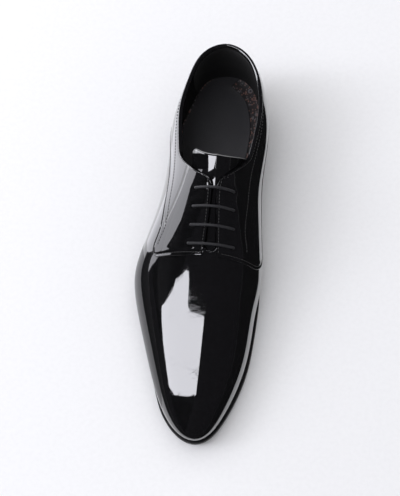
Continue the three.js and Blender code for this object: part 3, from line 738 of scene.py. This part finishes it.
def lace(material):
    """Lace: bars straight across, joined under the facings in the order of straight bar lacing.

    The cord's radius is a circle with three strands twisted over it.
    """
    radius = LACE / 2
    rows = FIRST_EYELET - EYELET_PITCH * np.arange(4)
    over, under = -(OVERLAY + radius * 0.9), WALL + FIT_GAP + radius

    def at(side, s, x, depth):
        return over_last(np.atleast_1d(s), np.atleast_1d(x), np.atleast_1d(depth))[0]

    def bar(row, start):
        s = rows[row]
        x = np.linspace(eyelet_x(start, s), eyelet_x(-start, s), 15)
        raised = at(0, np.full(15, s), x, np.full(15, over))
        return np.concatenate([at(0, s, x[0], under), at(0, s, x[0], 0.3), raised,
                               at(0, s, x[-1], 0.3), at(0, s, x[-1], under)])

    def hidden(side, from_row, to_row, aside):
        s = np.linspace(rows[from_row], rows[to_row], 7)[1:-1]
        x = eyelet_x(side, s) + side * aside * np.array([0.6, 1, 1, 1, 0.6])
        return at(0, s, x, np.full(5, under))
    path = np.concatenate([
        hidden(-1, 3, 2, 1.3), bar(2, -1), hidden(1, 2, 0, -1.4), bar(0, 1), hidden(-1, 0, 1, 0.0),
        bar(1, -1), hidden(1, 1, 3, 1.4), bar(3, 1)])
    path = smooth_path(path, 0.35, 5)

    def twisted(angle, run):
        return radius * (0.965 + 0.05 * np.abs(np.sin(1.5 * (angle - 2 * np.pi * run / 7.5))))
    points, faces = tube(path, twisted, 14)
    return make_piece("lace", points, faces, material, "laces")


def stitches(name, rows, material, pitch=2.5, long=1.8, thick=0.26):
    """Rows of stitches: each a short capsule that dips at its ends, along the row and square to the skin."""
    ring_shape = np.array([-1, -0.8, 0, 0.8, 1.0])
    girth = np.array([0.35, 0.85, 1.0, 0.85, 0.35])
    rings, sides = len(girth), 6
    angle = 2 * np.pi * np.arange(sides) / sides
    body_count = rings * sides
    each = body_count + 2
    grids = [quads(rings, sides, wrap_cols=True), fan(sides, 0, body_count),
             fan(sides, body_count - sides, body_count + 1)]
    parts, faces, count = [], [], 0
    for path, normal in rows:
        run = run_along(path, 0)
        middle = np.arange(pitch / 2, run[-1], pitch)
        centre, out = points_at(middle, run, path), points_at(middle, run, normal)
        ahead = points_at(middle + 0.3, run, path) - points_at(middle - 0.3, run, path)
        ahead /= np.linalg.norm(ahead, axis=1, keepdims=True) + 1e-9
        across = np.cross(out, ahead)
        spine = (centre[:, None] + ahead[:, None] * (long / 2 * ring_shape)[None, :, None]
                 + out[:, None] * (thick * (0.9 - 1.1 * ring_shape**2))[None, :, None])
        disc = np.cos(angle)[:, None] * out[:, None, None] + np.sin(angle)[:, None] * across[:, None, None]
        body = spine[:, :, None] + disc * (thick * girth)[None, :, None, None]
        points = np.concatenate([body.reshape(len(centre), -1, 3), spine[:, [0, -1]]], 1)
        shift = (count + each * np.arange(len(centre)))[:, None, None]
        faces += [(grid[None] + shift).reshape(-1, grid.shape[1]) for grid in grids]
        parts.append(points.reshape(-1, 3))
        count += each * len(centre)
    return make_piece(name, np.concatenate(parts), faces, material, "upper")


def where_run(run, value, *fields):
    """Values of fields down each column of a grid, where a rising run reaches a value."""
    columns = range(run.shape[1])
    return [np.array([np.interp(value, run[:, j], field[:, j]) for j in columns]) for field in fields]


def seam_rows():
    """Rows of stitches on both quarters: along the lower and front edge, along the top edge, and a second
    row that runs from the front corner up to the opening."""
    rows = []
    for side in (-1.0, 1.0):
        ring, up = quarter_grid(side)
        flat = skin(side, ring, up)
        from_low, from_top, _, from_front = to_edges(flat)
        low = where_run(from_low, SEAM_ROW, ring, up, from_front)
        front = where_run(-from_front.T, -SEAM_ROW, ring.T, up.T, from_low.T, from_top.T)
        top = where_run(-from_top, -FACING_ROW, ring, up, from_front)
        keep_low, keep_front = low[2] > SEAM_ROW, (front[2] > SEAM_ROW) & (front[3] > FACING_ROW)
        keep_top = top[2] > FACING_ROW
        lower = [np.concatenate([low[k][keep_low], front[k][keep_front]]) for k in (0, 1)]
        upper = [top[k][keep_top] for k in (0, 1)]
        crossing = np.linspace(0.225, 0.525, 160)
        second = up_where(side, crossing, lambda p: p[..., 2] - INSTEP_HEIGHT * second_row_at(
            np.clip(p[..., 1] / LAST_LENGTH, 0.12, 0.57)))
        for row_ring, row_up, depth in ((*lower, 0.2), (*upper, 0.14), (crossing, second, 0.02)):
            rows.append((layer(side, row_ring, row_up, np.full_like(row_ring, depth - OVERLAY)),
                         outwards(side, row_ring, row_up)))
    return rows


# Materials
def node(tree, kind, inputs=None, **settings):
    """Node of a kind; each input is a socket to link or a value to set."""
    made = tree.nodes.new(kind)
    for name, value in settings.items():
        setattr(made, name, value)
    for name, value in (inputs or {}).items():
        if isinstance(value, bpy.types.NodeSocket):
            tree.links.new(value, made.inputs[name])
        else:
            made.inputs[name].default_value = value
    return made


def object_place(tree):
    return node(tree, "ShaderNodeTexCoord").outputs["Object"]


def noise(tree, place, scale, detail, roughness=0.5):
    inputs = {"Vector": place, "Scale": scale, "Detail": detail, "Roughness": roughness}
    return node(tree, "ShaderNodeTexNoise", inputs).outputs["Fac"]


def cell_distance(tree, place, scale, spread=1.0):
    inputs = {"Vector": place, "Scale": scale, "Randomness": spread}
    return node(tree, "ShaderNodeTexVoronoi", inputs).outputs["Distance"]


def remap(tree, value, low, high, to_low=0.0, to_high=1.0):
    inputs = {"Value": value, "From Min": low, "From Max": high, "To Min": to_low, "To Max": to_high}
    return node(tree, "ShaderNodeMapRange", inputs).outputs["Result"]


def maths(tree, operation, *values):
    return node(tree, "ShaderNodeMath", dict(enumerate(values)), operation=operation).outputs[0]


def blend_colour(tree, mask, first, second):
    """Colour between two colours, each a socket or red, green and blue."""
    made = node(tree, "ShaderNodeMix", data_type="RGBA")
    tree.links.new(mask, made.inputs[0])
    for place, colour in ((6, first), (7, second)):
        if isinstance(colour, bpy.types.NodeSocket):
            tree.links.new(colour, made.inputs[place])
        else:
            made.inputs[place].default_value = (*colour, 1)
    return made.outputs[2]


def effect(name, inputs, outputs):
    """Empty node group with number inputs and named outputs."""
    group = bpy.data.node_groups.new(name, "ShaderNodeTree")
    for label, value in inputs:
        socket = group.interface.new_socket(label, in_out="INPUT", socket_type="NodeSocketFloat")
        socket.default_value = value
    for label, kind in outputs:
        group.interface.new_socket(label, in_out="OUTPUT", socket_type=kind)
    return group, group.nodes.new("NodeGroupInput"), group.nodes.new("NodeGroupOutput")


def make_grain():
    """Grain: a normal from slow waves and a fine grain, and a mask of the grain's hollows."""
    group, given, result = effect(
        "surface_grain",
        [("Wave Scale", 60.0), ("Wave Height", 0.0), ("Grain Scale", 900.0), ("Grain Height", 0.0)],
        [("Normal", "NodeSocketVector"), ("Hollows", "NodeSocketFloat")])
    place = object_place(group)
    waves = noise(group, place, given.outputs["Wave Scale"], 1.0, 0.4)
    wave_bump = node(group, "ShaderNodeBump", {"Height": waves, "Distance": given.outputs["Wave Height"]})
    grain = noise(group, place, given.outputs["Grain Scale"], 3.0, 0.6)
    bump = node(group, "ShaderNodeBump", {
        "Height": grain, "Distance": given.outputs["Grain Height"], "Normal": wave_bump.outputs["Normal"]})
    group.links.new(bump.outputs["Normal"], result.inputs["Normal"])
    group.links.new(remap(group, grain, 0.35, 0.6), result.inputs["Hollows"])
    return group


def make_dust():
    """Dust: sparse specks and a slow haze, each a mask from 0 to 1."""
    group, given, result = effect(
        "dust_and_haze", [("Speck Scale", 1400.0), ("Specks", 0.5), ("Haze Scale", 25.0)],
        [("Specks", "NodeSocketFloat"), ("Haze", "NodeSocketFloat")])
    place = object_place(group)
    dot = remap(group, cell_distance(group, place, given.outputs["Speck Scale"]), 0.16, 0.08)
    where = remap(group, noise(group, place, 45.0, 2.0), 0.52, 0.7)
    specks = maths(group, "MULTIPLY", maths(group, "MULTIPLY", dot, where), given.outputs["Specks"])
    group.links.new(specks, result.inputs["Specks"])
    group.links.new(noise(group, place, given.outputs["Haze Scale"], 4.0), result.inputs["Haze"])
    return group


def finish_of(name, roughness, low, high, grain=(900.0, 0.0), waves=(60.0, 0.0), specks=0.5,
              speck_scale=1400.0, rough_spread=0.1, **shader):
    """Material of two colours with grain, waves, haze in its roughness and a little dust.

    Grain and waves are each a scale and a height; the rest is set on the shader.
    """
    material = bpy.data.materials.new(name)
    material.use_nodes = True
    tree = material.node_tree
    surface = tree.nodes["Principled BSDF"]
    relief = {"Wave Scale": waves[0], "Wave Height": waves[1],
              "Grain Scale": grain[0], "Grain Height": grain[1]}
    bumps = node(tree, "ShaderNodeGroup", relief, node_tree=GRAIN)
    motes = node(tree, "ShaderNodeGroup", {"Speck Scale": speck_scale, "Specks": specks}, node_tree=DUST)
    base = blend_colour(tree, bumps.outputs["Hollows"], low, high)
    dusty = blend_colour(tree, motes.outputs["Specks"], base, DUST_COLOUR)
    rough = remap(tree, motes.outputs["Haze"], 0.3, 0.7, roughness, roughness + rough_spread)
    tree.links.new(dusty, surface.inputs["Base Color"])
    tree.links.new(rough, surface.inputs["Roughness"])
    tree.links.new(bumps.outputs["Normal"], surface.inputs["Normal"])
    for socket, value in shader.items():
        surface.inputs[socket.replace("_", " ")].default_value = value
    return material


def printed_leather(name):
    """Cover leather: near black with small muted rings, a dot in each, and short dashes between them."""
    material = finish_of(name, 0.5, (0.010, 0.008, 0.009), (0.016, 0.013, 0.014), (1800.0, 0.00006),
                         (80.0, 0.0002), specks=0.2, speck_scale=1500.0)
    tree = material.node_tree
    colour = tree.nodes["Principled BSDF"].inputs["Base Color"]
    place = object_place(tree)
    from_middle = cell_distance(tree, place, 150.0, 0.25)
    off_ring = maths(tree, "ABSOLUTE", maths(tree, "SUBTRACT", from_middle, 0.27))
    ring, dot = remap(tree, off_ring, 0.085, 0.05), remap(tree, from_middle, 0.09, 0.06)
    stretched = node(tree, "ShaderNodeMapping", {"Vector": place, "Scale": (620.0, 450.0, 620.0),
                                                 "Rotation": (0.5, 0.0, 0.0)}).outputs["Vector"]
    dash = remap(tree, cell_distance(tree, stretched, 1.0), 0.42, 0.30)
    dash = maths(tree, "MULTIPLY", dash, remap(tree, from_middle, 0.36, 0.42))
    motif = maths(tree, "MAXIMUM", maths(tree, "MAXIMUM", ring, dot), dash)
    red_or_grey = remap(tree, noise(tree, place, 260.0, 1.0), 0.42, 0.58)
    ink = blend_colour(tree, red_or_grey, (0.17, 0.080, 0.065), (0.10, 0.095, 0.105))
    tree.links.new(blend_colour(tree, motif, colour.links[0].from_socket, ink), colour)
    return material


GRAIN, DUST = make_grain(), make_dust()
DUST_COLOUR = (0.12, 0.12, 0.12)
PATENT = finish_of("black_patent", 0.03, (0.0030, 0.0030, 0.0034), (0.0045, 0.0045, 0.0050),
                   (300.0, 0.00004), (42.0, 0.00018), speck_scale=1300.0, rough_spread=0.02,
                   Coat_Weight=1.0, Coat_Roughness=0.02, Coat_IOR=1.8, IOR=1.6)
PRINTED = printed_leather("printed_cover_leather")
LINING = finish_of("black_quarter_lining", 0.5, (0.008, 0.008, 0.009), (0.014, 0.014, 0.015),
                   (1800.0, 0.00006), (80.0, 0.0002), specks=0.2)
GRIP = finish_of("heel_grip_suede", 0.75, (0.004, 0.004, 0.005), (0.008, 0.008, 0.009),
                 (2200.0, 0.00012), specks=0.3, Sheen_Weight=0.05)
SOCK = finish_of("charcoal_sock_leather", 0.5, (0.015, 0.015, 0.018), (0.023, 0.022, 0.026),
                 (1500.0, 0.00008), (70.0, 0.0003))
TONGUE_LINING = finish_of("tongue_lining_leather", 0.6, (0.30, 0.30, 0.30), (0.36, 0.36, 0.36),
                          (1500.0, 0.00008), specks=0.3)
SOLE = finish_of("black_sole", 0.32, (0.007, 0.007, 0.008), (0.012, 0.012, 0.013),
                 (1100.0, 0.00006), (120.0, 0.0002), specks=0.6)
RUBBER = finish_of("heel_rubber", 0.6, (0.010, 0.010, 0.010), (0.018, 0.018, 0.018),
                   (900.0, 0.0001), specks=0.6)
CORD = finish_of("waxed_cord", 0.36, (0.012, 0.012, 0.013), (0.040, 0.040, 0.044),
                 (2600.0, 0.0001), specks=0.3)
# Thread colour raised from black to dark grey: a painted highlight standing in for the glints of glossy black
# thread, so the stitches show as light dots on the dark facings
THREAD_PAINTED_GLINT = finish_of("black_thread_painted_glint", 0.4, (0.03, 0.03, 0.03), (0.07, 0.07, 0.07),
                   (3500.0, 0.00005), specks=0.2)
FLOOR = finish_of("studio_floor", 0.55, (0.86, 0.86, 0.87), (0.88, 0.88, 0.89), (300.0, 0.00004), specks=0.0,
                  Specular_IOR_Level=0.0)
BLACK_CARD = finish_of("black_card", 0.9, (0.004, 0.004, 0.004), (0.006, 0.006, 0.006), specks=0.0)
GREY_CARD = finish_of("grey_card", 0.9, (0.44, 0.44, 0.45), (0.46, 0.46, 0.47), specks=0.0)

# The object
vamp(PATENT)
quarter(-1.0, "quarter_lateral", PATENT)
quarter(1.0, "quarter_medial", PATENT)
lining(LINING)
heel_grip(GRIP)
stitches("quarter_stitches", seam_rows(), THREAD_PAINTED_GLINT)
tongue_sheet("tongue_leather", PATENT, -0.3, 1.0, 0.0)
tongue_sheet("tongue_lining", TONGUE_LINING, 1.03, TONGUE_THICKNESS, 0.9)
lace(CORD)
insole_sheet("insole_cover_printed", PRINTED, 0.0, INSOLE_THICKNESS - 0.7, 0.0, 0.0, 1.6)
insole_sheet("insole_sock", SOCK, INSOLE_THICKNESS - 0.65, INSOLE_THICKNESS, 1.5, 9.5, 0.4)
outsole(SOLE)
STACK_PROFILE = [(0, 0), (0.30, 0), (0.32, 0.22), (0.34, 0), (0.63, 0), (0.65, 0.22), (0.67, 0), (1, 0)]
LIFT_PROFILE = [(0, 0.9), (0.06, 0.35), (0.16, 0), (0.93, 0), (1, 0.25)]
heel_block("heel_stack_layers", SOLE, "heel_stack", TOP_LIFT,
           lambda s: bottom_height(s) - 0.02, STACK_PROFILE)
heel_block("heel_lift_rubber", RUBBER, "heel_top_lift", 0.0,
           lambda s: TOP_LIFT + 0 * s, LIFT_PROFILE)


# Stage: floor, lights, cards and camera
def flat_sheet(name, points, faces, material):
    """Sheet of the stage from its corners."""
    mesh = bpy.data.meshes.new(name)
    mesh.from_pydata(points, [], faces or [tuple(range(len(points)))])
    mesh.materials.append(material)
    sheet = bpy.data.objects.new(name, mesh)
    bpy.context.collection.objects.link(sheet)
    return sheet


def card(name, points, material, faces=None, lights=False):
    """Card for reflections: camera and shadows pass it, and it lights nothing else unless told to."""
    sheet = flat_sheet(name, points, faces, material)
    sheet.visible_camera = sheet.visible_shadow = False
    sheet.visible_diffuse = lights


def glow(name, radiance):
    material = bpy.data.materials.new(name)
    material.use_nodes = True
    surface = material.node_tree.nodes["Principled BSDF"]
    surface.inputs["Base Color"].default_value = (0, 0, 0, 1)
    surface.inputs["Emission Color"].default_value = (*DAYLIGHT, 1)
    surface.inputs["Emission Strength"].default_value = radiance
    return material


def upright(name, outline, x, material):
    """Card that stands beside the shoe at an x; its outline is given as y and z."""
    card(name, [(x, y, z) for y, z in outline], material)


def floor_card(name, inner, reach, z, material):
    """Card just over the floor from an inner line outwards to a distance."""
    inner = np.array(inner)
    outer = inner / np.linalg.norm(inner, axis=1, keepdims=True) * reach
    points = np.concatenate([inner, outer])
    points = np.concatenate([points, np.full((len(points), 1), z)], 1)
    card(name, points.tolist(), material, quads(2, len(inner)).tolist())


def softbox(name, at, aim, width, height, radiance, colour=(1, 1, 1)):
    """Rectangular soft light at a place, aimed at a point."""
    data = bpy.data.lights.new(name, "AREA")
    data.shape, data.size, data.size_y, data.color = "RECTANGLE", width, height, colour
    data.energy = radiance * np.pi * width * height
    lamp = bpy.data.objects.new(name, data)
    bpy.context.collection.objects.link(lamp)
    lamp.location = at
    lamp.rotation_euler = (Vector(aim) - Vector(at)).to_track_quat("-Z", "Y").to_euler()
    return lamp


# The window is flat overhead, its outline given as x and y over its height from the shoe
WINDOW_HEIGHT, WINDOW_RADIANCE = 4.0, 4.9
DAYLIGHT = (1.0, 1.0, 1.07)
WINDOW = [(-0.06, -0.312), (-0.20, -0.322), (-0.40, -0.338), (-0.50, -0.356), (-0.54, -0.445),
          (-0.62, -0.460), (-0.72, -0.440), (-0.85, -0.425), (-1.05, -0.425), (-1.35, -0.455),
          (-1.60, -0.515), (-2.00, -0.570), (-2.40, -0.610), (-3.20, -0.660), (-3.20, -0.120),
          (-2.50, -0.180), (-2.20, -0.260), (-1.80, -0.270), (-1.40, -0.230), (-1.00, -0.190),
          (-0.60, -0.155), (-0.30, -0.130), (-0.05, -0.125)]
TONGUE_GLINT = [(0.050, 0.146), (0.050, 0.200), (0.070, 0.210), (0.080, 0.190), (0.080, 0.118),
                (0.066, 0.134)]
SOFT_FLAG = [(0.070, 0.080), (0.070, 0.125), (0.030, 0.115), (-0.015, 0.115), (-0.024, 0.080)]
VAMP_FLAG = [(0.030, 0.115), (0.030, 0.300), (-0.086, 0.300), (-0.090, 0.200), (-0.0795, 0.165),
             (-0.073, 0.145), (-0.073, 0.080), (-0.090, 0.070), (-0.098, 0.058), (-0.030, 0.058),
             (-0.015, 0.115)]
TOE_FLAG = [(-0.143, 0.060), (-0.148, 0.090), (-0.157, 0.130), (-0.170, 0.187), (-0.200, 0.334),
            (-0.215, 0.400), (-0.300, 0.400), (-0.300, 0.060)]
TONGUE_FLAG = [(0.0445, 0.070), (0.0575, 0.070), (0.0575, 0.0965), (0.0445, 0.0965)]
BLACK_FLOOR_FROM = [
    (0.105, 0.165), (0.078, 0.130), (0.069, 0.100), (0.066, 0.040), (0.066, -0.020), (0.068, -0.060),
    (0.064, -0.110), (0.050, -0.160), (0.022, -0.200), (-0.030, -0.208), (-0.075, -0.185),
    (-0.105, -0.120), (-0.120, -0.040), (-0.130, 0.020)]
WALL_GLOW = [(-0.075, 0.020, 0.0012), (-0.075, 0.350, 0.0012), (-0.50, 0.350, 0.0012),
             (-0.50, 0.020, 0.0012)]
GREY_FLOOR = [(-0.14, 0.01, 0.001), (-0.03, 0.01, 0.001), (-0.03, -0.13, 0.001), (-0.14, -0.13, 0.001)]

flat_sheet("floor", [(-6, -6, 0), (6, -6, 0), (6, 6, 0), (-6, 6, 0)], None, FLOOR)
card("window_light", [(x * WINDOW_HEIGHT, y * WINDOW_HEIGHT, WINDOW_HEIGHT) for x, y in WINDOW],
     glow("window_light", WINDOW_RADIANCE), lights=True)
upright("tongue_light", TONGUE_GLINT, -0.065, glow("tongue_light", WINDOW_RADIANCE))
card("wall_floor_glow", WALL_GLOW, glow("wall_floor_glow", 1.6))
upright("soft_flag", SOFT_FLAG, -0.10, glow("soft_flag", 1.6))
upright("black_flag", VAMP_FLAG, -0.10, BLACK_CARD)
upright("black_toe_flag", TOE_FLAG, -0.10, BLACK_CARD)
upright("black_tongue_flag", TONGUE_FLAG, -0.009, BLACK_CARD)
floor_card("black_floor_card", BLACK_FLOOR_FROM, 5.0, 0.002, BLACK_CARD)
card("grey_floor_card", GREY_FLOOR, GREY_CARD)
softbox("rear_left_panel", (-0.84, 0.62, 0.17), (0.09, 0.22, 0.10), 0.475, 0.34, 2.9, DAYLIGHT)
softbox("front_left_panel", (-1.02, 0.18, 0.17), (-0.09, -0.22, 0.10), 0.475, 0.34, 1.5, DAYLIGHT)
# Two lights that reflections don't see
for lamp in (softbox("fill_softbox", (-0.54, 0.54, 1.8), (-0.54, 0.54, 0.0), 2.88, 2.52, 0.85),
             softbox("left_softbox", (-1.7, -0.1, 1.6), (0.0, 0.0, 0.0), 0.8, 0.8, 4.0, DAYLIGHT)):
    lamp.visible_glossy = False

world = bpy.data.worlds.new("studio")
bpy.context.scene.world = world
world.use_nodes = True
backdrop = world.node_tree.nodes["Background"]
seen = node(world.node_tree, "ShaderNodeLightPath")
shade = blend_colour(world.node_tree, seen.outputs["Is Glossy Ray"], (0.80, 0.80, 0.82),
                     (0.045, 0.043, 0.050))
world.node_tree.links.new(shade, backdrop.inputs["Color"])
backdrop.inputs["Strength"].default_value = 0.55

CAMERA_AT = Vector((0.08957, -0.37265, 1.11065))
AIM_AT = Vector((0.00018, -0.00099, 0.030))
ROLL = -8.35
PHOTO_FOCAL, ZOOM, LONG_SIDE = 1279.0, 1.15, 496.0
camera_data = bpy.data.cameras.new("camera")
camera_data.sensor_width = 36.0
camera_data.lens = PHOTO_FOCAL * ZOOM / LONG_SIDE * camera_data.sensor_width
camera = bpy.data.objects.new("camera", camera_data)
bpy.context.collection.objects.link(camera)
camera.location = CAMERA_AT
camera.rotation_mode = "QUATERNION"
turn = (AIM_AT - CAMERA_AT).to_track_quat("-Z", "Y")
camera.rotation_quaternion = turn @ Quaternion((0, 0, 1), np.radians(ROLL))
bpy.context.scene.camera = camera
bpy.context.scene.view_settings.view_transform = "Standard"
